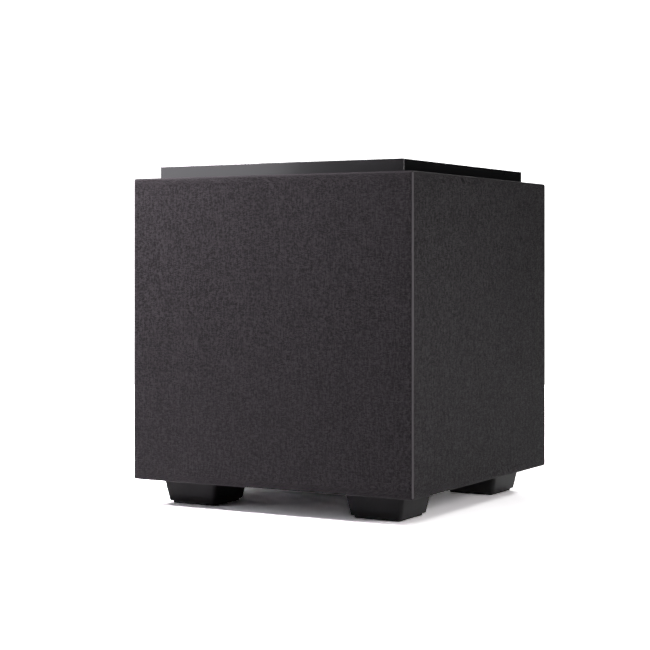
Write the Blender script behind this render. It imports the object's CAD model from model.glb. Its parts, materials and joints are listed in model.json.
"""Looks of a powered subwoofer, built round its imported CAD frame. Lengths are in metres."""

import json
import math
import random

import bmesh
import bpy
from mathutils import Matrix, Vector, noise


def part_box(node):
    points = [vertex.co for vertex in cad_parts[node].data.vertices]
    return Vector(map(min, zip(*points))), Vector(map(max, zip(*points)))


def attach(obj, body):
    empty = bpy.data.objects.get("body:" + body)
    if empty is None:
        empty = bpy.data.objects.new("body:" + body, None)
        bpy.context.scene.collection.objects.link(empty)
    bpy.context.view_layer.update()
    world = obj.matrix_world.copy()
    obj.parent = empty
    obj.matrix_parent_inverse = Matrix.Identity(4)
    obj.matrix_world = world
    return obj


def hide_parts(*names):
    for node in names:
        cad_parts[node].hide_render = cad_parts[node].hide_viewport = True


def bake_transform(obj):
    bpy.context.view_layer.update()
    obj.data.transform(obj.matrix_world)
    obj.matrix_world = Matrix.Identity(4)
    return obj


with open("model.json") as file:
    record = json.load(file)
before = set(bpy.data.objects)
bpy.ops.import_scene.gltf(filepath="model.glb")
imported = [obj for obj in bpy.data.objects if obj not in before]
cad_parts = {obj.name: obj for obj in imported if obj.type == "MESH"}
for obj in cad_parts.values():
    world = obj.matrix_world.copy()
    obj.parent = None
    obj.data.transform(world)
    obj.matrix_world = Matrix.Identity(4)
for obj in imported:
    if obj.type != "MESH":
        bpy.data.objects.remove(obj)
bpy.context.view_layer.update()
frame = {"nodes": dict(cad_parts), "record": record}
MM = 0.001
CABINET = "cabinet"


# ---------------------------------------------------------------- camera, lights and floor

CAMERA_PLACE = (0.970, -1.744, 0.274)
CAMERA_TURN = 29.8
CAMERA_LENS = 93.95
CAMERA_SHIFT_Y = -0.095


def make_camera():
    """Looks level across the object from its front right, so that upright edges stay parallel."""
    data = bpy.data.cameras.new("photo_camera")
    data.lens = CAMERA_LENS
    data.sensor_width = 36
    data.shift_y = CAMERA_SHIFT_Y
    data.clip_start = 0.05
    camera = bpy.data.objects.new("photo_camera", data)
    bpy.context.scene.collection.objects.link(camera)
    camera.location = CAMERA_PLACE
    camera.rotation_euler = (math.radians(90), 0, math.radians(CAMERA_TURN))
    bpy.context.scene.camera = camera


def soft_box(name, place, target, size, power, colour=(1, 1, 1)):
    """A rectangular lamp at a place, aimed at a target, that the camera doesn't see."""
    data = bpy.data.lights.new(name, "AREA")
    data.shape = "RECTANGLE"
    data.size, data.size_y = size
    data.energy = power
    data.color = colour
    light = bpy.data.objects.new(name, data)
    bpy.context.scene.collection.objects.link(light)
    light.visible_camera = False
    light.location = place
    aim = Vector(target) - Vector(place)
    light.rotation_euler = aim.to_track_quat("-Z", "Y").to_euler()


WORLD_WHITE, WORLD_DIM = 1.8, 0.01


def make_world():
    """White where the camera sees it, and dim as a source of light and reflections."""
    world = bpy.data.worlds.new("studio")
    world.use_nodes = True
    bpy.context.scene.world = world
    nodes, links = world.node_tree.nodes, world.node_tree.links
    path = nodes.new("ShaderNodeLightPath")
    dim = nodes["Background"]
    dim.inputs["Color"].default_value = (1, 1, 1, 1)
    dim.inputs["Strength"].default_value = WORLD_DIM
    white = nodes.new("ShaderNodeBackground")
    white.inputs["Color"].default_value = (1, 1, 1, 1)
    white.inputs["Strength"].default_value = WORLD_WHITE
    mix = nodes.new("ShaderNodeMixShader")
    links.new(path.outputs["Is Camera Ray"], mix.inputs["Fac"])
    links.new(dim.outputs["Background"], mix.inputs[1])
    links.new(white.outputs["Background"], mix.inputs[2])
    links.new(mix.outputs["Shader"], nodes["World Output"].inputs["Surface"])


FLOOR_RADIUS = 1.9
FLOOR_DROP = 0.2 * MM
# The floor's reflectance: over-exposed to white where it is seen, and dark where light bounces
# off it, so that it doesn't wash out the dark cloth
FLOOR_WHITE, FLOOR_BOUNCE = 3.2, 0.06


def make_floor():
    bm = bmesh.new()
    bmesh.ops.create_circle(bm, cap_ends=True, segments=96, radius=FLOOR_RADIUS)
    mesh = bpy.data.meshes.new("floor")
    bm.to_mesh(mesh)
    bm.free()
    floor = bpy.data.objects.new("floor", mesh)
    bpy.context.scene.collection.objects.link(floor)
    floor.location.z = -FLOOR_DROP
    shader = Shader("floor_paper", {"Specular IOR Level": 0.1})
    path = shader.add("ShaderNodeLightPath")
    white, bounce = (*[FLOOR_WHITE] * 3, 1), (*[FLOOR_BOUNCE] * 3, 1)
    shader.link("Base Color", shader.mix(path.outputs["Is Diffuse Ray"], white, bounce))
    grain = shader.noise(900, 3)
    shader.link("Roughness", shader.spread(grain, 0.85, 0.95))
    mesh.materials.append(shader.material)


def make_lights():
    middle = (0, 0, 0.2)
    soft_box("key", (-0.58, -0.29, 0.72), (0, -0.18, 0.25), (0.45, 0.45), 23, (1.0, 0.9, 0.985))
    soft_box("left_front", (-1.15, -1.25, 0.6), middle, (0.9, 0.7), 4.2, (0.96, 0.955, 1.0))
    soft_box("right_high", (1.15, 0.3, 1.9), (0.2, 0, 0), (0.8, 0.8), 8)
    near_edge = (0.18, -0.17, 0.2)
    soft_box("right_low", (0.75, -0.17, 0.27), near_edge, (0.25, 0.3), 1.85, (1.0, 0.965, 0.985))
    soft_box("back_left", (-0.9, 2.1, 1.1), middle, (1.4, 1.2), 40)


# ---------------------------------------------------------------- places that the CAD frame gives

DRIVER_Z = (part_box("woofer_cone")[0].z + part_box("woofer_cone")[1].z) / 2
BOARD_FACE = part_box("power_transformer")[1].y
EDGE_R = 2.5 * MM
FOOT_NODES = ("foot_front_left", "foot_front_right", "foot_rear_left", "foot_rear_right")
# |x| + |y| at an upright edge of the top plate, and at the middle of the cloth's rounded one
PLATE_SUM = 2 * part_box("top_plate")[1].x
EDGE_SUM = 2 * (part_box("grille_cloth")[1].x - EDGE_R * (1 - math.sqrt(0.5)))


# ---------------------------------------------------------------- material tools


class Shader:
    """A Principled material whose textures read the object's own coordinates, in metres."""

    def __init__(self, name, sockets):
        self.material = bpy.data.materials.new(name)
        self.material.use_nodes = True
        self.tree = self.material.node_tree
        self.bsdf = self.tree.nodes["Principled BSDF"]
        for label, value in sockets.items():
            self.bsdf.inputs[label].default_value = value
        self.place = self.add("ShaderNodeTexCoord").outputs["Object"]

    def add(self, kind, inputs=None, **settings):
        node = self.tree.nodes.new(kind)
        for label, value in settings.items():
            setattr(node, label, value)
        for label, value in (inputs or {}).items():
            self.feed(node.inputs[label], value)
        return node

    def feed(self, socket, value):
        if isinstance(value, bpy.types.NodeSocket):
            self.tree.links.new(value, socket)
        else:
            socket.default_value = value

    def link(self, label, output):
        self.tree.links.new(output, self.bsdf.inputs[label])

    def math(self, operation, first, second=0.0, third=0.0):
        values = {0: first, 1: second, 2: third}
        return self.add("ShaderNodeMath", values, operation=operation).outputs[0]

    def spread(self, factor, low, high):
        """Maps a factor from 0..1 to low..high."""
        inputs = {"Value": factor, "To Min": low, "To Max": high}
        return self.add("ShaderNodeMapRange", inputs).outputs["Result"]

    def step(self, factor, low, high):
        """0 below low, 1 above high, and smooth between them."""
        inputs = {"Value": factor, "From Min": low, "From Max": high}
        node = self.add("ShaderNodeMapRange", inputs, interpolation_type="SMOOTHSTEP")
        return node.outputs["Result"]

    def mix(self, factor, first, second):
        node = self.add("ShaderNodeMix", {0: factor, 6: first, 7: second}, data_type="RGBA")
        return node.outputs[2]

    def axes(self, vector=None):
        """The x, y and z of a vector, or of the place itself."""
        node = self.add("ShaderNodeSeparateXYZ", {0: vector or self.place})
        return node.outputs[0], node.outputs[1], node.outputs[2]

    def corner(self, x, y, edge_sum):
        """|x| + |y|, less its value at an upright edge: 0 at the edge and negative before it."""
        reach = self.math("ADD", self.math("ABSOLUTE", x), self.math("ABSOLUTE", y))
        return self.math("SUBTRACT", reach, edge_sum)

    def vector(self, x, y, z):
        return self.add("ShaderNodeCombineXYZ", {0: x, 1: y, 2: z}).outputs[0]

    def scaled(self, x, y, z):
        inputs = {0: self.place, 1: (x, y, z)}
        return self.add("ShaderNodeVectorMath", inputs, operation="MULTIPLY").outputs[0]

    def noise(self, scale, detail=2, roughness=0.5, vector=None):
        inputs = {"Vector": vector or self.place, "Scale": scale, "Detail": detail}
        inputs["Roughness"] = roughness
        return self.add("ShaderNodeTexNoise", inputs).outputs["Fac"]

    def random(self, vector):
        """A random number for each different vector, the same on every run."""
        return self.add("ShaderNodeTexWhiteNoise", {"Vector": vector}).outputs["Value"]

    def cells(self, scale, feature="F1", vector=None):
        """Distance to the nearest of scattered points, or to the edge between two of them."""
        inputs = {"Vector": vector or self.place, "Scale": scale}
        return self.add("ShaderNodeTexVoronoi", inputs, feature=feature).outputs["Distance"]

    def bump(self, height, strength, distance, normal=None):
        inputs = {"Height": height, "Strength": strength, "Distance": distance}
        if normal:
            inputs["Normal"] = normal
        out = self.add("ShaderNodeBump", inputs).outputs["Normal"]
        self.link("Normal", out)
        return out

    def edge_wear(self, radius, grain_scale):
        """1 on worn stretches of sharp edges, 0 on the faces."""
        round_normal = self.add("ShaderNodeBevel", {"Radius": radius}, samples=4).outputs[0]
        flat_normal = self.add("ShaderNodeNewGeometry").outputs["True Normal"]
        inputs = {0: round_normal, 1: flat_normal}
        facing = self.add("ShaderNodeVectorMath", inputs, operation="DOT_PRODUCT").outputs["Value"]
        edge = self.step(self.math("SUBTRACT", 1.0, facing), 0.02, 0.12)
        worn = self.step(self.noise(grain_scale, 4, 0.6), 0.45, 0.7)
        return self.math("MULTIPLY", edge, worn)


# ---------------------------------------------------------------- materials


CLOTH_DARK, CLOTH_LIGHT = (0.0065, 0.006, 0.0064), (0.06, 0.057, 0.0595)
WARP_STRETCH, WEFT_STRETCH = 7 * MM, 3 * MM
FLECK_WEIGHT, SLUB_WEIGHT = 0.5, 0.4
DRAWN_W = 0.7 * MM
POLISH = 4


def cloth_material(name="woven_cloth", pitch=1.1 * MM, dark=CLOTH_DARK, light=CLOTH_LIGHT):
    """Plain weave of melange yarns: each stretch of yarn has its own tone, with flecks and slubs."""
    s = Shader(name, {"Specular IOR Level": 0.06, "Sheen Weight": 0.008, "Sheen Roughness": 0.5})
    x, y, z = s.axes()
    up = s.math("ABSOLUTE", s.axes(s.add("ShaderNodeNewGeometry").outputs["Normal"])[2])
    across = s.math("MULTIPLY_ADD", y, s.math("SUBTRACT", 1.0, up), x)
    along = s.math("MULTIPLY_ADD", y, up, z)
    flat = s.vector(across, along, 0.0)

    def yarn(side, run, stretch, seed):
        """Tone of the yarn at this place, which changes every stretch along it."""
        index = s.math("FLOOR", s.math("DIVIDE", side, pitch))
        start = s.random(s.vector(index, seed, 0.0))
        offset = s.math("MULTIPLY", start, 9.0)
        part = s.math("FLOOR", s.math("MULTIPLY_ADD", run, 1 / stretch, offset))
        return s.random(s.vector(index, part, seed))

    warp = s.math("SINE", s.math("MULTIPLY", across, math.pi / pitch))
    weft = s.math("SINE", s.math("MULTIPLY", along, math.pi / pitch))
    over = s.math("MULTIPLY", s.math("MULTIPLY", warp, weft), 0.5)
    warp_top = s.math("ADD", s.math("ABSOLUTE", warp), over)
    weft_top = s.math("SUBTRACT", s.math("ABSOLUTE", weft), over)
    height = s.math("MAXIMUM", warp_top, weft_top)
    warp_tone = yarn(across, along, WARP_STRETCH, 1.0)
    weft_tone = yarn(along, across, WEFT_STRETCH, 2.0)
    warp_shows = s.math("GREATER_THAN", warp_top, weft_top)
    yarns = s.add("ShaderNodeMix", {0: warp_shows, 2: weft_tone, 3: warp_tone}).outputs[0]
    fleck = s.step(s.noise(440, 1, 0.5, flat), 0.46, 0.66)
    slub = s.step(s.noise(250, 1, 0.5, flat), 0.48, 0.7)
    blotch = s.noise(30, 3, 0.55, flat)
    tone = s.math("MULTIPLY", s.math("MULTIPLY", yarns, yarns), s.spread(height, 0.5, 1.0))
    tone = s.math("MULTIPLY_ADD", slub, SLUB_WEIGHT, tone)
    tone = s.math("MULTIPLY_ADD", fleck, FLECK_WEIGHT, tone)
    tone = s.math("MULTIPLY", tone, s.spread(blotch, 0.8, 1.2))
    # the cloth is drawn thin and polished where it turns over the upright edges
    drawn = s.step(s.corner(x, y, EDGE_SUM), -DRAWN_W, 0.0)
    woven = s.mix(s.math("MINIMUM", tone, 1.0), (*dark, 1), (*light, 1))
    polished = tuple(c * POLISH for c in light)
    s.link("Base Color", s.mix(drawn, woven, (*polished, 1)))
    s.link("Roughness", s.spread(s.math("SUBTRACT", fleck, drawn), 0.62, 0.86))
    fuzz = s.bump(s.noise(2600, 3, 0.7), 0.35, 0.1 * MM)
    s.bump(height, 0.8, 0.22 * MM, fuzz)
    return s.material


def lacquer_material():
    """Black satin lacquer: a faint orange peel, wiped smears and a little edge wear."""
    finish = {"Coat Weight": 1.0, "Coat Roughness": 0.12, "Specular IOR Level": 0.5}
    s = Shader("satin_lacquer", finish)
    wear = s.edge_wear(0.8 * MM, 160)
    smear = s.noise(14, 4, 0.6, s.scaled(1.0, 2.2, 1.0))
    base = s.mix(s.spread(smear, 0.2, 0.8), (0.002, 0.002, 0.0024, 1), (0.004, 0.004, 0.0048, 1))
    x, y, _ = s.axes()
    upright = s.step(s.corner(x, y, PLATE_SUM), -1.2 * MM, -0.2 * MM)
    rubbed = s.math("MAXIMUM", upright, s.math("MULTIPLY", wear, 0.12))
    s.link("Base Color", s.mix(rubbed, base, (0.09, 0.09, 0.094, 1)))
    s.link("Roughness", s.spread(smear, 0.24, 0.36))
    peel = s.bump(s.noise(420, 2, 0.4), 0.05, 0.05 * MM)
    s.bump(s.noise(2600, 1, 0.5), 0.04, 0.02 * MM, peel)
    return s.material


def plastic_material(name, dark, light, roughness, grain, wear=0.4, gloss=0.5):
    """Moulded plastic with a spark-eroded grain and paler worn edges."""
    s = Shader(name, {"Specular IOR Level": gloss})
    cloud = s.noise(60, 4, 0.55)
    worn = s.math("MULTIPLY", s.edge_wear(0.6 * MM, 260), wear)
    pale = tuple(min(1.0, c * 2.2 + 0.02) for c in light)
    s.link("Base Color", s.mix(worn, s.mix(cloud, (*dark, 1), (*light, 1)), (*pale, 1)))
    s.link("Roughness", s.spread(s.noise(25, 3), roughness - 0.06, roughness + 0.08))
    s.bump(s.cells(grain), 0.25, 0.06 * MM)
    return s.material


def rubber_material(name, shade, roughness=0.75):
    """Matt rubber with a pale bloom."""
    s = Shader(name, {"Specular IOR Level": 0.35})
    bloom = s.noise(45, 5, 0.65)
    low, high = shade * 0.8, shade * 1.7
    pale = s.step(bloom, 0.35, 0.75)
    s.link("Base Color", s.mix(pale, (low, low, low, 1), (high, high, high * 1.03, 1)))
    s.link("Roughness", s.spread(bloom, roughness - 0.08, roughness + 0.12))
    s.bump(s.noise(1500, 3, 0.6), 0.3, 0.05 * MM)
    return s.material


def board_material(name, pale, deep):
    """Pressed wood fibre: speckled faces with short darker fibres."""
    s = Shader(name, {"Specular IOR Level": 0.25})
    fibre = s.noise(1.0, 5, 0.7, s.scaled(700, 700, 260))
    speck = s.step(s.cells(420), 0.1, 0.55)
    tone = s.math("MULTIPLY", s.spread(fibre, 0.2, 1.0), s.spread(speck, 0.75, 1.0))
    s.link("Base Color", s.mix(tone, (*deep, 1), (*pale, 1)))
    s.link("Roughness", s.spread(fibre, 0.72, 0.92))
    s.bump(fibre, 0.35, 0.12 * MM)
    return s.material


def powder_material(name, shade, roughness=0.5):
    """Powder coat with a fine wrinkle."""
    s = Shader(name, {"Specular IOR Level": 0.5})
    lump = s.noise(1100, 3, 0.6)
    worn = s.math("MULTIPLY", s.edge_wear(0.5 * MM, 320), 0.4)
    low, high = shade * 0.75, shade * 1.35
    coat = s.mix(lump, (low, low, low, 1), (high, high, high * 1.05, 1))
    s.link("Base Color", s.mix(worn, coat, (0.16, 0.16, 0.165, 1)))
    s.link("Roughness", s.spread(lump, roughness - 0.08, roughness + 0.1))
    s.bump(lump, 0.45, 0.09 * MM)
    return s.material


def metal_material(name, colour, roughness, stretch=(1, 1, 1), scratch=0.15):
    """Metal with a directional finish; stretch is small along the lay of the marks."""
    s = Shader(name, {"Metallic": 1.0})
    lay = s.noise(1.0, 4, 0.7, s.scaled(*(1500 * a for a in stretch)))
    stain = s.noise(55, 4, 0.6)
    dull = tuple(c * 0.72 for c in colour)
    s.link("Base Color", s.mix(s.spread(stain, 0.1, 0.9), (*dull, 1), (*colour, 1)))
    s.link("Roughness", s.spread(lay, roughness - 0.09, roughness + 0.14))
    s.bump(lay, scratch, 0.03 * MM)
    return s.material


def ferrite_material():
    """Dark sintered ferrite, gritty and pitted."""
    s = Shader("sintered_ferrite", {"Specular IOR Level": 0.5})
    grit = s.noise(800, 4, 0.7)
    pit = s.step(s.cells(180), 0.02, 0.12)
    s.link("Base Color", s.mix(grit, (0.018, 0.018, 0.02, 1), (0.06, 0.06, 0.064, 1)))
    s.link("Roughness", s.spread(grit, 0.5, 0.8))
    s.bump(s.math("MULTIPLY", grit, pit), 0.5, 0.15 * MM)
    return s.material


def paper_material():
    """Black pressed pulp with pale fibres."""
    s = Shader("pulp_cone", {"Specular IOR Level": 0.3})
    fibre = s.cells(260, "DISTANCE_TO_EDGE")
    cloud = s.noise(120, 5, 0.7)
    thread = s.math("SUBTRACT", 1.0, s.step(fibre, 0.0, 0.05))
    base = s.mix(cloud, (0.012, 0.012, 0.014, 1), (0.035, 0.035, 0.04, 1))
    s.link("Base Color", s.mix(s.math("MULTIPLY", thread, 0.35), base, (0.12, 0.115, 0.11, 1)))
    s.link("Roughness", s.spread(cloud, 0.62, 0.88))
    s.bump(s.math("ADD", cloud, thread), 0.5, 0.12 * MM)
    return s.material


def anodised_material():
    """Black anodised piston with turned rings round its own axis."""
    s = Shader("anodised_piston", {"Metallic": 1.0})
    _, y, z = s.axes()
    rise = s.math("SUBTRACT", z, DRIVER_Z)
    squares = s.math("ADD", s.math("MULTIPLY", y, y), s.math("MULTIPLY", rise, rise))
    radius = s.math("SQRT", squares)
    ring = s.math("SINE", s.math("MULTIPLY", radius, 2 * math.pi / (0.7 * MM)))
    cloud = s.noise(40, 3)
    s.link("Base Color", s.mix(cloud, (0.03, 0.03, 0.033, 1), (0.06, 0.06, 0.064, 1)))
    s.link("Roughness", s.spread(cloud, 0.32, 0.5))
    s.bump(ring, 0.25, 0.03 * MM)
    return s.material


def winding_material():
    """Turns of enamelled copper wire, stacked along the coil's axis."""
    s = Shader("copper_turns", {"Metallic": 0.8})
    y = s.axes()[1]
    turn = s.math("ABSOLUTE", s.math("SINE", s.math("MULTIPLY", y, math.pi / (0.6 * MM))))
    s.link("Base Color", s.mix(turn, (0.12, 0.03, 0.012, 1), (0.62, 0.24, 0.1, 1)))
    s.link("Roughness", s.spread(s.noise(300, 2), 0.25, 0.45))
    s.bump(turn, 0.9, 0.25 * MM)
    return s.material


# On the circuit board the coil is higher over the drivers' axis than this, and the capacitors'
# cans are at a lower x than this
COIL_RISE = 64 * MM
CAN_X = -24 * MM


def circuit_material():
    """Green solder mask with tracks and tinned pads; the parts that stand on it differ."""
    finish = {"Specular IOR Level": 0.5, "Coat Weight": 0.4, "Coat Roughness": 0.2}
    s = Shader("solder_mask", finish)
    x, y, z = s.axes()
    rise = s.math("SUBTRACT", z, DRIVER_Z)
    flat = s.vector(x, z, 0.0)
    inputs = {"Vector": flat, "Scale": 95.0, "Mortar Size": 0.09}
    brick = s.add("ShaderNodeTexBrick", inputs, offset=0.37)
    pads = s.math("SUBTRACT", 1.0, s.step(s.cells(190, "F1", flat), 0.16, 0.2))
    track = s.math("MULTIPLY", brick.outputs["Fac"], 0.8)
    mask = s.mix(track, (0.008, 0.075, 0.03, 1), (0.03, 0.19, 0.07, 1))
    board = s.mix(pads, mask, (0.55, 0.56, 0.55, 1))
    turns = s.math("ABSOLUTE", s.math("SINE", s.math("MULTIPLY", s.math("ADD", x, rise), 2600.0)))
    copper = s.mix(turns, (0.16, 0.05, 0.02, 1), (0.6, 0.26, 0.12, 1))
    print_band = s.step(s.noise(160, 2, 0.5, s.scaled(1.0, 0.1, 1.0)), 0.5, 0.56)
    sleeve = s.mix(print_band, (0.01, 0.014, 0.03, 1), (0.03, 0.035, 0.06, 1))
    epoxy = s.mix(s.noise(500, 3), (0.01, 0.01, 0.011, 1), (0.03, 0.03, 0.032, 1))
    is_coil = s.math("GREATER_THAN", rise, COIL_RISE)
    is_can = s.math("LESS_THAN", x, CAN_X)
    stands = s.math("LESS_THAN", y, BOARD_FACE - 0.3 * MM)
    part = s.mix(is_can, s.mix(is_coil, epoxy, copper), sleeve)
    s.link("Base Color", s.mix(stands, board, part))
    tinned = s.math("MULTIPLY", pads, s.math("SUBTRACT", 1.0, stands))
    s.link("Metallic", s.math("MULTIPLY", tinned, 0.9))
    s.link("Roughness", s.spread(s.noise(200, 3), 0.25, 0.45))
    s.bump(s.math("ADD", brick.outputs["Fac"], pads), 0.4, 0.08 * MM)
    return s.material


def lamination_material():
    """Varnished stack of steel sheets, seen edge on."""
    s = Shader("laminated_core", {"Metallic": 0.5})
    y = s.axes()[1]
    sheet = s.math("ABSOLUTE", s.math("SINE", s.math("MULTIPLY", y, math.pi / (0.9 * MM))))
    rust = s.noise(90, 5, 0.7)
    core = s.mix(sheet, (0.02, 0.018, 0.016, 1), (0.2, 0.19, 0.18, 1))
    s.link("Base Color", s.mix(s.step(rust, 0.6, 0.8), core, (0.14, 0.07, 0.035, 1)))
    s.link("Roughness", s.spread(rust, 0.35, 0.6))
    s.bump(sheet, 0.5, 0.12 * MM)
    return s.material


def lens_material():
    """Blue translucent lens, a little cloudy."""
    s = Shader("status_lens", {"Transmission Weight": 0.6, "IOR": 1.49})
    cloud = s.noise(700, 3)
    s.link("Base Color", s.mix(cloud, (0.06, 0.2, 0.62, 1), (0.14, 0.36, 0.85, 1)))
    s.link("Roughness", s.spread(cloud, 0.08, 0.2))
    s.bump(cloud, 0.1, 0.02 * MM)
    return s.material


def print_material(name, colour):
    """Screen-printed ink, a little uneven."""
    s = Shader(name, {"Specular IOR Level": 0.3})
    patch = s.noise(900, 4, 0.7)
    dull = tuple(c * 0.72 for c in colour)
    s.link("Base Color", s.mix(patch, (*dull, 1), (*colour, 1)))
    s.link("Roughness", s.spread(patch, 0.5, 0.75))
    s.bump(patch, 0.2, 0.02 * MM)
    return s.material


BLACK_PLASTIC = (0.012, 0.012, 0.012)


def make_materials():
    """The materials, by the name of their slot in the record."""
    return {
        "cloth": cloth_material("woven_cloth_inner"),
        "top_lacquer": lacquer_material(),
        "frame_mdf": board_material("stained_board", (0.03, 0.03, 0.031), (0.008, 0.008, 0.008)),
        "panel_mdf": board_material("raw_board", (0.42, 0.31, 0.2), (0.2, 0.13, 0.075)),
        "base_board": board_material("black_board", (0.028, 0.028, 0.028), (0.01, 0.01, 0.01)),
        "foot_plastic": plastic_material(
            "foot_plastic", (0.042, 0.042, 0.0425), (0.058, 0.058, 0.0585), 0.36, 1500, 0.25, 0.03
        ),
        "sole_rubber": rubber_material("sole_rubber", 0.012),
        "gasket_rubber": rubber_material("gasket_rubber", 0.02, 0.85),
        "surround_rubber": rubber_material("surround_rubber", 0.014, 0.6),
        "zinc_steel": metal_material("zinc_steel", (0.56, 0.57, 0.6), 0.36),
        "black_steel": metal_material("black_steel", (0.05, 0.05, 0.052), 0.42),
        "basket_paint": powder_material("basket_coat", 0.022),
        "amp_paint": powder_material("amp_coat", 0.02, 0.46),
        "cone_paper": paper_material(),
        "former_aluminium": metal_material("former_foil", (0.74, 0.74, 0.76), 0.3, (0.1, 1, 0.1)),
        "copper_winding": winding_material(),
        "spider_cloth": cloth_material(
            "spider_cloth_inner", 0.9 * MM, (0.25, 0.13, 0.04), (0.6, 0.38, 0.14)
        ),
        "ferrite": ferrite_material(),
        "brass": metal_material("brass", (0.78, 0.58, 0.25), 0.28),
        "wire_jacket": plastic_material(
            "wire_jacket", (0.2, 0.01, 0.01), (0.32, 0.02, 0.018), 0.4, 900, 0.1
        ),
        "radiator_aluminium": anodised_material(),
        "bezel_plastic": plastic_material(
            "bezel_plastic", BLACK_PLASTIC, (0.022, 0.022, 0.022), 0.42, 1100
        ),
        "board": circuit_material(),
        "raw_aluminium": metal_material("extrusion", (0.7, 0.71, 0.73), 0.34, (1, 1, 0.04), 0.3),
        "core_steel": lamination_material(),
        "pot_metal": metal_material("pot_metal", (0.6, 0.6, 0.6), 0.33),
        "knob_plastic": plastic_material(
            "knob_plastic", BLACK_PLASTIC, (0.024, 0.024, 0.024), 0.36, 1400
        ),
        "slider_plastic": plastic_material(
            "slider_plastic", (0.42, 0.42, 0.42), (0.6, 0.6, 0.6), 0.4, 1200, 0.2
        ),
        "inlet_plastic": plastic_material(
            "inlet_plastic", (0.01, 0.01, 0.01), (0.018, 0.018, 0.018), 0.28, 1500
        ),
        "pin_metal": metal_material("nickel", (0.72, 0.7, 0.66), 0.2, (1, 0.05, 1)),
        "jack_brass": metal_material("gold_plate", (0.9, 0.68, 0.3), 0.2),
        "lens": lens_material(),
    }


def paint_cad(made):
    """Gives every CAD node the material of its slot in the record."""
    slots = {row["node"]: row["material_slot"] for row in frame["record"]["subparts"]}
    for node, piece in frame["nodes"].items():
        piece.data.materials.clear()
        piece.data.materials.append(made[slots[node]])


# ---------------------------------------------------------------- mesh tools


def make_piece(name, bm, material, body):
    """A piece from a bmesh, with its normals outward, riding on a body."""
    bmesh.ops.recalc_face_normals(bm, faces=bm.faces)
    mesh = bpy.data.meshes.new(name)
    bm.to_mesh(mesh)
    bm.free()
    piece = bpy.data.objects.new(name, mesh)
    bpy.context.scene.collection.objects.link(piece)
    mesh.materials.append(material)
    if body:
        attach(piece, body)
    return piece


def smooth(piece, degrees=35):
    """Smooth faces, with edges sharper than the angle kept crisp."""
    mesh = piece.data
    mesh.shade_smooth()
    limit = math.radians(degrees)
    bm = bmesh.new()
    bm.from_mesh(mesh)
    for edge in bm.edges:
        edge.smooth = len(edge.link_faces) == 2 and edge.calc_face_angle(0.0) < limit
    bm.to_mesh(mesh)
    bm.free()
    return piece


def keep_modifiers(piece):
    """Replaces the mesh by what its modifiers make of it."""
    bpy.context.view_layer.update()
    seen = piece.evaluated_get(bpy.context.evaluated_depsgraph_get())
    mesh = bpy.data.meshes.new_from_object(seen)
    old = piece.data
    piece.modifiers.clear()
    piece.data = mesh
    mesh.name = piece.name
    bpy.data.meshes.remove(old)
    return piece


def grid_faces(bm, rows, close_row=True, close_column=False):
    """Quads between neighbouring rows of vertices."""
    pairs = list(zip(rows, rows[1:]))
    if close_column:
        pairs.append((rows[-1], rows[0]))
    for low, high in pairs:
        count = len(low)
        for i in range(count if close_row else count - 1):
            j = (i + 1) % count
            bm.faces.new((low[i], low[j], high[j], high[i]))


def lathe(bm, profile, place, segments=128):
    """Turns a closed (radius, height) profile round local Z; place maps it to the row frame."""
    rows = []
    for radius, height in profile:
        row = []
        for k in range(segments):
            a = 2 * math.pi * k / segments
            point = Vector((radius * math.cos(a), radius * math.sin(a), height))
            row.append(bm.verts.new(place @ point))
        rows.append(row)
    grid_faces(bm, rows, True, True)


def add_box(bm, low, high, place=Matrix.Identity(4), bevel=0.0, segments=2):
    """A box between two corners, with rounded edges where bevel is given."""
    low, high = Vector(low), Vector(high)
    made = bmesh.ops.create_cube(bm, size=1.0)["verts"]
    for v in made:
        v.co = Vector((low[i] + (v.co[i] + 0.5) * (high[i] - low[i]) for i in range(3)))
    if bevel:
        edges = list(dict.fromkeys(e for v in made for e in v.link_edges))
        made = bmesh.ops.bevel(
            bm, geom=edges, offset=bevel, segments=segments, affect="EDGES", profile=0.5
        )["verts"]
    for v in made:
        v.co = place @ v.co


FRONT_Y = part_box("front_baffle")[0].y
RIGHT_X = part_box("right_panel")[1].x
LEFT_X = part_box("left_panel")[0].x


def placed(at, degrees, axis):
    """A turn about an axis through a place."""
    return Matrix.Translation(at) @ Matrix.Rotation(math.radians(degrees), 4, axis)


# Places that turn local +Z outward at each driver
AT_FRONT = placed((0, FRONT_Y, DRIVER_Z), 90, "X")
AT_RIGHT = placed((RIGHT_X, 0, DRIVER_Z), 90, "Y")
AT_LEFT = placed((LEFT_X, 0, DRIVER_Z), -90, "Y")


# ---------------------------------------------------------------- cloth sock

CLOTH_T = 0.9 * MM
CORNER_STEPS = 6
SIDE_STEPS = 56
BEND_STEPS = 4
WALL_STEP = 6 * MM
WAVE_HEIGHT = 0.12 * MM
HEM_PLACES = (0.2, 0.4, 0.6, 0.8, 0.97, 1.0)
# The window's cutter goes from inside the box, through the back wall, to outside it
CUTTER_Y = (0.12, 0.24)


def square_ring(half, corner_r, side_steps, corner_steps):
    """Points round a square with rounded corners, counter-clockwise from its lower right."""
    points = []
    for quarter in range(4):
        turn = Matrix.Rotation(quarter * math.pi / 2, 2)
        inner = half - corner_r
        for i in range(side_steps):
            points.append(turn @ Vector((half, -inner + 2 * inner * (i + 0.5) / side_steps)))
        for i in range(corner_steps + 1):
            a = math.pi / 2 * i / corner_steps
            arc = Vector((corner_r * math.cos(a), corner_r * math.sin(a)))
            points.append(turn @ (Vector((inner, inner)) + arc))
    return points


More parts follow.
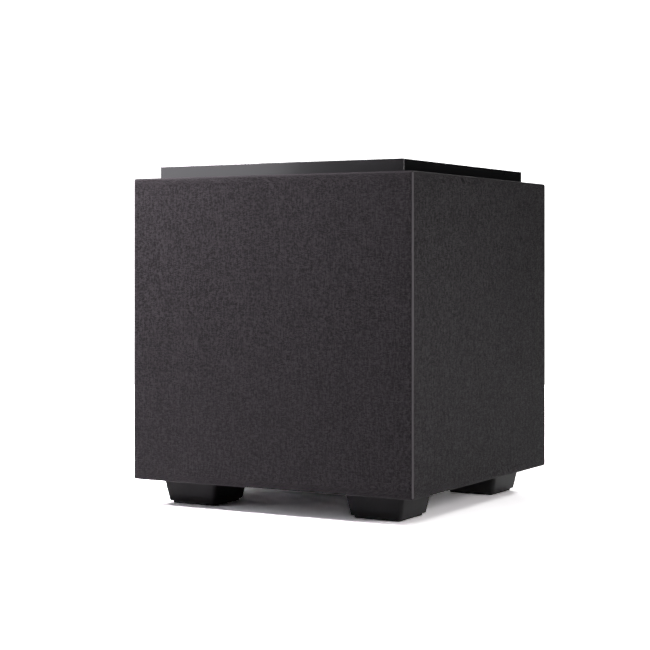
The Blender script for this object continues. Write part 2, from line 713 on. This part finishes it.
def sock_profile(bottom, top, hem_w):
    """(inset, height) from the top hem's inner edge, over the wall, to the bottom hem's inner edge."""
    wall = top - bottom - 2 * EDGE_R
    bend = [math.pi / 2 * i / BEND_STEPS for i in range(BEND_STEPS + 1)]
    profile = [(hem_w * f, top) for f in reversed(HEM_PLACES)]
    for a in bend:
        profile.append((EDGE_R * (1 - math.sin(a)), top - EDGE_R * (1 - math.cos(a))))
    count = int(wall / WALL_STEP)
    for i in range(1, count):
        profile.append((0.0, top - EDGE_R - wall * i / count))
    for a in bend:
        profile.append((EDGE_R * (1 - math.cos(a)), bottom + EDGE_R * (1 - math.sin(a))))
    profile += [(hem_w * f, bottom) for f in HEM_PLACES]
    return profile


def sock_rows(bm, profile, half, depth):
    """Rows of vertices for one skin of the sock, depth inside the outer skin."""
    bottom, top = profile[-1][1], profile[0][1]
    rows = []
    for inset, height in profile:
        corner = max(EDGE_R - inset, 0.3 * MM)
        flatness = min(max(inset - EDGE_R, 0.0) / EDGE_R, 1.0)
        lift = -depth * flatness if height > (top + bottom) / 2 else depth * flatness
        draw = depth * (1.0 - flatness)
        corner_r = max(corner - draw, 0.15 * MM)
        row = []
        for p in square_ring(half - inset - draw, corner_r, SIDE_STEPS, CORNER_STEPS):
            wave = WAVE_HEIGHT * noise.noise(Vector((p.x * 22, p.y * 22, height * 16)))
            out = p.normalized() * wave * (1.0 - flatness)
            row.append(bm.verts.new((p.x + out.x, p.y + out.y, height + lift)))
        rows.append(row)
    return rows


def make_cloth():
    """The sock, a thin closed shell with turned hems and a rear window; returns its material."""
    low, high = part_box("grille_cloth")
    half = high.x
    hem_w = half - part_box("base_cover")[1].x
    profile = sock_profile(low.z, high.z, hem_w)
    bm = bmesh.new()
    outer = sock_rows(bm, profile, half, 0.0)
    inner = sock_rows(bm, profile, half, CLOTH_T)
    grid_faces(bm, outer + inner[::-1], True, True)
    material = cloth_material()
    sock = make_piece("cloth_sock", bm, material, CABINET)
    cut_window(sock)
    smooth(sock, 40)
    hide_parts("grille_cloth")
    return material


def cut_window(sock):
    """Cuts the opening for the rear bezel through the back wall."""
    low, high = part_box("rear_bezel")
    width, height = high.x - low.x, high.z - low.z
    corner_r, slack = 8 * MM, 0.2 * MM
    bm = bmesh.new()
    ring = []
    for quarter, (sx, sz) in enumerate(((1, 1), (-1, 1), (-1, -1), (1, -1))):
        for i in range(9):
            a = math.pi / 2 * (quarter + i / 8)
            x = sx * (width / 2 - corner_r) + (corner_r + slack) * math.cos(a)
            z = (low.z + high.z) / 2 + sz * (height / 2 - corner_r) + (corner_r + slack) * math.sin(a)
            ring.append((x, z))
    rows = [[bm.verts.new((x, y, z)) for x, z in ring] for y in CUTTER_Y]
    grid_faces(bm, rows)
    bm.faces.new(rows[0][::-1])
    bm.faces.new(rows[1])
    cutter = make_piece("window_cutter", bm, sock.data.materials[0], None)
    cut = sock.modifiers.new("window", "BOOLEAN")
    cut.operation = "DIFFERENCE"
    cut.solver = "EXACT"
    cut.object = cutter
    keep_modifiers(sock)
    bpy.data.objects.remove(cutter)


def make_seam(outer_cloth):
    """Rear centre seam above and below the window: a raised fold with stitches on each side."""
    low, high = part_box("grille_cloth")
    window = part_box("rear_bezel")
    fold, thread = bmesh.new(), bmesh.new()
    half_w, crest, proud, root = 1.1 * MM, 0.4 * MM, 0.45 * MM, -0.4 * MM
    stitch, pitch, row_x, gap = 2.2 * MM, 3.2 * MM, 2.2 * MM, 1 * MM
    shape = [(-half_w, root), (-half_w, 0.0), (-crest, proud)]
    shape += [(crest, proud), (half_w, 0.0), (half_w, root)]
    back = high.y
    below, above = (low.z + EDGE_R, window[0].z - gap), (window[1].z + gap, high.z - EDGE_R)
    for z_low, z_high in (below, above):
        rows = []
        for i in range(13):
            z = z_low + (z_high - z_low) * i / 12
            sway = 0.15 * MM * math.sin(i * 1.7)
            rows.append([fold.verts.new((x + sway, back + y, z)) for x, y in shape])
        grid_faces(fold, rows)
        fold.faces.new(rows[0])
        fold.faces.new(rows[-1][::-1])
        count = int((z_high - z_low) / pitch)
        for side in (-1, 1):
            for i in range(count):
                z = z_low + (i + 0.5) * pitch
                place = Matrix.Translation((side * row_x, back, z))
                stitch_low = (-0.22 * MM, -0.2 * MM, -stitch / 2)
                stitch_high = (0.22 * MM, 0.3 * MM, stitch / 2)
                add_box(thread, stitch_low, stitch_high, place, 0.15 * MM)
    smooth(make_piece("cloth_seam", fold, outer_cloth, CABINET), 60)
    thread_material = print_material("seam_thread", (0.03, 0.027, 0.029))
    make_piece("seam_thread", thread, thread_material, CABINET)


def make_staples(made):
    """Steel staples that hold the hem under the box, in a row along each side."""
    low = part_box("grille_cloth")[0]
    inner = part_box("base_cover")[1].x
    bm = bmesh.new()
    leg, wire, crown, proud = 0.5 * MM, 0.35 * MM, 10 * MM, 0.15 * MM
    each_side, spacing, from_cover = 7, 40 * MM, 7 * MM
    rng = random.Random(5)
    for quarter in range(4):
        for i in range(each_side):
            along = (i - each_side // 2) * spacing + rng.uniform(-2, 2) * MM
            turn = Matrix.Rotation(quarter * math.pi / 2, 4, "Z")
            tilt = Matrix.Rotation(rng.uniform(-0.12, 0.12), 4, "Z")
            place = turn @ Matrix.Translation((along, inner + from_cover, low.z)) @ tilt
            add_box(bm, (-crown / 2, -wire, -leg), (crown / 2, wire, proud), place, 0.2 * MM)
    make_piece("hem_staples", bm, made["zinc_steel"], CABINET)


# ---------------------------------------------------------------- feet

FOOT_LEAN = 4.7 * MM
FOOT_CORNER = 4 * MM


def ring_rows(bm, profile, centre):
    """Rows of rounded squares, from lines of (half width, corner radius, height).

    A line whose corner radius is None gives a circle of the half width, with as many points.
    """
    rows = []
    for half, corner, height in profile:
        round_row = corner is None
        shape = (1.0, 0.1) if round_row else (half, corner)
        row = []
        for p in square_ring(*shape, 8, 6):
            if round_row:
                p = p.normalized() * half
            row.append(bm.verts.new((centre.x + p.x, centre.y + p.y, height)))
        rows.append(row)
    return rows


def make_feet(made):
    """Hollow tapered feet with rounded corners, and a seat for the bolt's head inside."""
    for node in FOOT_NODES:
        low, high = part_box(node)
        centre, half = (low + high) / 2, (high.x - low.x) / 2
        rise = high.z - low.z
        foot_low = half - FOOT_LEAN
        walls = [(foot_low - 0.7 * MM, FOOT_CORNER, low.z)]
        walls.append((foot_low - 0.2 * MM, FOOT_CORNER, low.z + 0.2 * MM))
        for t in (0.03, 0.3, 0.6, 0.97, 1.0):
            walls.append((half - FOOT_LEAN * (1 - t), FOOT_CORNER, low.z + rise * t))
        bolt_r, seat_r, seat_z = 3.3 * MM, 8 * MM, low.z + 10 * MM
        hollow = [(bolt_r, None, high.z), (bolt_r, None, seat_z)]
        hollow += [(seat_r, None, seat_z), (seat_r, None, low.z)]
        bm = bmesh.new()
        grid_faces(bm, ring_rows(bm, walls + hollow, centre), True, True)
        name = node.replace("foot", "moulded_foot")
        foot = make_piece(name, bm, made["foot_plastic"], CABINET)
        smooth(foot, 30)
        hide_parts(node)


def make_soles(made):
    """Rubber soles with a rounded edge and two square grooves on the underside."""
    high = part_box("foot_soles")[1]
    bm = bmesh.new()
    for node in FOOT_NODES:
        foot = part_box(node)
        centre = (foot[0] + foot[1]) / 2
        half = high.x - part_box("foot_front_right")[1].x + (foot[1].x - foot[0].x) / 2
        groove, groove_w, bevel, round_over = 0.7 * MM, 2 * MM, 0.3 * MM, 0.8 * MM
        profile = [(half - bevel, high.z), (half, high.z - bevel)]
        profile += [(half, round_over), (half - round_over, 0.0)]
        for start in (6 * MM, 14 * MM):
            edge = half - start
            profile += [(edge, 0.0), (edge - groove, groove)]
            profile += [(edge - groove_w, groove), (edge - groove_w - groove, 0.0)]
        lines = [(w, min(2.5 * MM, w * 0.4), z) for w, z in profile]
        rows = ring_rows(bm, lines, centre)
        grid_faces(bm, rows)
        bm.faces.new(rows[0])
        bm.faces.new(rows[-1][::-1])
    soles = make_piece("rubber_soles", bm, made["sole_rubber"], CABINET)
    smooth(soles, 30)
    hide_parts("foot_soles")


# ---------------------------------------------------------------- surrounds and spider


def make_ring_piece(node, profile, place, material):
    """A turned ring, for a node that is fixed at its outer rim and moves at its inner rim."""
    bm = bmesh.new()
    lathe(bm, profile, place, 144)
    piece = make_piece(node + "_skin", bm, material, None)
    smooth(piece, 40)
    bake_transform(piece)
    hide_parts(node)


ROLL_CENTRE = 100 * MM
ROLL_R = 8 * MM
RUBBER_T = 1.2 * MM
LAND_W = 5 * MM
LAND_STEP_T = 0.9 * MM
SPIDER_WAVE_IN, SPIDER_WAVE_OUT = 30.45 * MM, 66 * MM


def surround_profile():
    """Half roll between two glued lands, with a fine bead along each land."""
    outside, inside = [], []
    for i in range(29):
        a = math.radians(8 + 164 * i / 28)
        bead = 0.12 * MM * math.sin(6 * a) ** 2
        r = ROLL_R + RUBBER_T / 2 - bead
        outside.append((ROLL_CENTRE + r * math.cos(a), r * math.sin(a)))
    for i in range(25):
        a = math.radians(180 - 180 * i / 24)
        r = ROLL_R - RUBBER_T / 2
        inside.append((ROLL_CENTRE + r * math.cos(a), r * math.sin(a)))
    far, near = ROLL_CENTRE + ROLL_R + LAND_W, ROLL_CENTRE - ROLL_R - LAND_W
    # a land's section, from its free edge towards the roll: a rounded edge, then a shallow groove
    land = ((0.0, 0.0), (0.0, LAND_STEP_T), (0.4 * MM, RUBBER_T), (2 * MM, RUBBER_T))
    land += ((2.6 * MM, LAND_STEP_T), (3.2 * MM, RUBBER_T))
    land_out = [(far - x, t) for x, t in land]
    land_in = [(near + x, t) for x, t in reversed(land)]
    return land_out + outside + land_in + inside


def spider_profile():
    """Corrugated ring between the coil and the basket's land."""
    low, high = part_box("woofer_spider")
    outer_r = (high.x - low.x) / 2
    inner_r = 26.45 * MM
    level = -56 * MM
    waves, swing, cloth_t, steps = 5, 2 * MM, 0.8 * MM, 80
    span = SPIDER_WAVE_OUT - SPIDER_WAVE_IN
    radii = [inner_r, (inner_r + SPIDER_WAVE_IN) / 2]
    radii += [SPIDER_WAVE_IN + span * i / steps for i in range(steps + 1)]
    radii.append(outer_r)

    def wave(r):
        if r < SPIDER_WAVE_IN or r > SPIDER_WAVE_OUT:
            return 0.0
        return swing * math.sin(2 * math.pi * waves * (r - SPIDER_WAVE_IN) / span)

    under = [(r, level + wave(r)) for r in radii]
    over = [(r, level + cloth_t + wave(r)) for r in reversed(radii)]
    return under + over


def make_soft_rings(made):
    """The three surrounds and the spider, which stretch between the cabinet and what moves."""
    for node, place, moving in (
        ("woofer_surround", AT_FRONT, "woofer_cone_group"),
        ("left_radiator_surround", AT_LEFT, "left_radiator_group"),
        ("right_radiator_surround", AT_RIGHT, "right_radiator_group"),
    ):
        profile, slot = surround_profile(), "surround_rubber"
        make_ring_piece(node, profile, place, made[slot])
    profile, slot, moving = spider_profile(), "spider_cloth", "woofer_cone_group"
    make_ring_piece("woofer_spider", profile, AT_FRONT, made[slot])


# ---------------------------------------------------------------- rear panel details


def rear_place(x, z, y):
    """Turns local +Z to the rear and local +Y up, at a place on the rear panel."""
    turn = Matrix(((-1, 0, 0, 0), (0, 0, 1, 0), (0, 1, 0, 0), (0, 0, 0, 1)))
    return Matrix.Translation((x, y, z)) @ turn


def middle(node):
    """The middle of a node's box."""
    low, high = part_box(node)
    return (low + high) / 2


FACE_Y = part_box("power_inlet")[1].y - 2 * MM
INK_T = 0.12 * MM


def ink_line(bm, place, start, end, width):
    """A raised ink line between two points of the panel."""
    a, b = Vector(start), Vector(end)
    run = (b - a).normalized()
    angle = math.atan2(run.y, run.x)
    local = place @ Matrix.Translation((a.x, a.y, 0)) @ Matrix.Rotation(angle, 4, "Z")
    add_box(bm, (0, -width / 2, 0), ((b - a).length, width / 2, INK_T), local, 0.03 * MM, 1)


def ink_arc(bm, place, radius, from_deg, to_deg, width, steps=40):
    """A raised ink arc round a place on the panel."""
    near, far = radius - width / 2, radius + width / 2
    section = ((near, 0), (far, 0), (far, INK_T), (near, INK_T))
    rows = []
    for i in range(steps + 1):
        a = math.radians(from_deg + (to_deg - from_deg) * i / steps)
        row = []
        for r, h in section:
            row.append(bm.verts.new(place @ Vector((r * math.cos(a), r * math.sin(a), h))))
        rows.append(row)
    grid_faces(bm, rows)
    bm.faces.new(rows[0][::-1])
    bm.faces.new(rows[-1])


# A knob turns 150 degrees each way from straight up, and a mark stands at every 30 degrees
DIAL_FROM, DIAL_TO, DIAL_STEP = -60, 240, 30


def make_panel_print():
    """Unlettered marks: a scale round each knob, end marks by switches, frames by sockets."""
    bm = bmesh.new()
    for node in ("level_knob", "crossover_knob"):
        at = middle(node)
        place = rear_place(at.x, at.z, FACE_Y)
        ink_arc(bm, place, 16.2 * MM, DIAL_FROM, DIAL_TO, 0.4 * MM)
        for i in range(11):
            a = math.radians(DIAL_TO - DIAL_STEP * i)
            mark_r = 17 * MM
            tip_r = mark_r + (3.2 * MM if i in (0, 5, 10) else 2.0 * MM)
            start = (mark_r * math.cos(a), mark_r * math.sin(a))
            end = (tip_r * math.cos(a), tip_r * math.sin(a))
            ink_line(bm, place, start, end, 0.6 * MM)
    for node in ("phase_slider", "mode_slider"):
        place = rear_place(middle("switch_housings").x, middle(node).z, FACE_Y)
        for x in (-9, 9):
            ink_line(bm, place, (x * MM, -2 * MM), (x * MM, 2 * MM), 0.6 * MM)
    low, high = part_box("rca_jacks")
    trigger = middle("trigger_jack")
    groups = [(low.x - 5 * MM, high.x + 5 * MM), (trigger.x - 9 * MM, trigger.x + 9 * MM)]
    place = rear_place(0, trigger.z, FACE_Y)
    rise = 12 * MM
    for x_low, x_high in groups:
        # rear_place mirrors x
        left, right = -x_high, -x_low
        for z in (-rise, rise):
            ink_line(bm, place, (left, z), (right, z), 0.5 * MM)
        for x in (left, right):
            ink_line(bm, place, (x, -rise), (x, rise), 0.5 * MM)
    ink = print_material("panel_ink", (0.62, 0.62, 0.6))
    make_piece("panel_marks", bm, ink, CABINET)


def make_pointers():
    """White fill in each knob's pointer groove."""
    for node, body in (("level_knob", "level_control"), ("crossover_knob", "crossover_control")):
        at = middle(node)
        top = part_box(node)[1].y
        place = rear_place(at.x, at.z, top)
        bm = bmesh.new()
        low = (-0.5 * MM, 3.6 * MM, -0.62 * MM)
        high = (0.5 * MM, 11.4 * MM, -0.12 * MM)
        add_box(bm, low, high, place, 0.12 * MM)
        white = print_material(node + "_fill", (0.75, 0.75, 0.73))
        make_piece(node + "_pointer", bm, white, body)


# Each phono jack's name, colour, and place in the row, counted from the lowest x
JACKS = (
    ("left", (0.6, 0.6, 0.58), 2),
    ("right", (0.42, 0.012, 0.012), 1),
    ("out", (0.02, 0.02, 0.02), 0),
)


def make_jack_rings():
    """Coloured insulators: a washer under each phono jack's nut, and a ring in its mouth."""
    low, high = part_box("rca_jacks")
    row_z = middle("trigger_jack").z
    nut_r = 6.6 * MM
    in_r, out_r, wall, top = 6.7 * MM, 7.9 * MM, 0.6 * MM, 0.9 * MM
    washer = [(in_r, 0), (out_r, 0), (out_r, wall), (out_r - 0.4 * MM, top), (in_r, top)]
    mouth = high.y - FACE_Y
    base, crown = mouth + 0.05 * MM, mouth + 0.3 * MM
    lip = [(1.7 * MM, base), (3.5 * MM, base), (3.3 * MM, crown), (1.9 * MM, crown)]
    for name, colour, i in JACKS:
        x = (low.x + nut_r) + i * (high.x - low.x - 2 * nut_r) / 2
        place = rear_place(x, row_z, FACE_Y)
        bm = bmesh.new()
        lathe(bm, washer, place, 48)
        lathe(bm, lip, place, 48)
        dark = tuple(c * 0.8 for c in colour)
        material = plastic_material("jack_" + name, dark, colour, 0.35, 900, 0.1)
        smooth(make_piece("jack_ring_" + name, bm, material, CABINET), 40)


# ---------------------------------------------------------------- build

make_camera()
bpy.context.scene.view_settings.view_transform = "Standard"
make_world()
make_lights()
make_floor()
materials = make_materials()
paint_cad(materials)
outer_cloth = make_cloth()
make_seam(outer_cloth)
make_staples(materials)
make_feet(materials)
make_soles(materials)
make_soft_rings(materials)
make_panel_print()
make_pointers()
make_jack_rings()
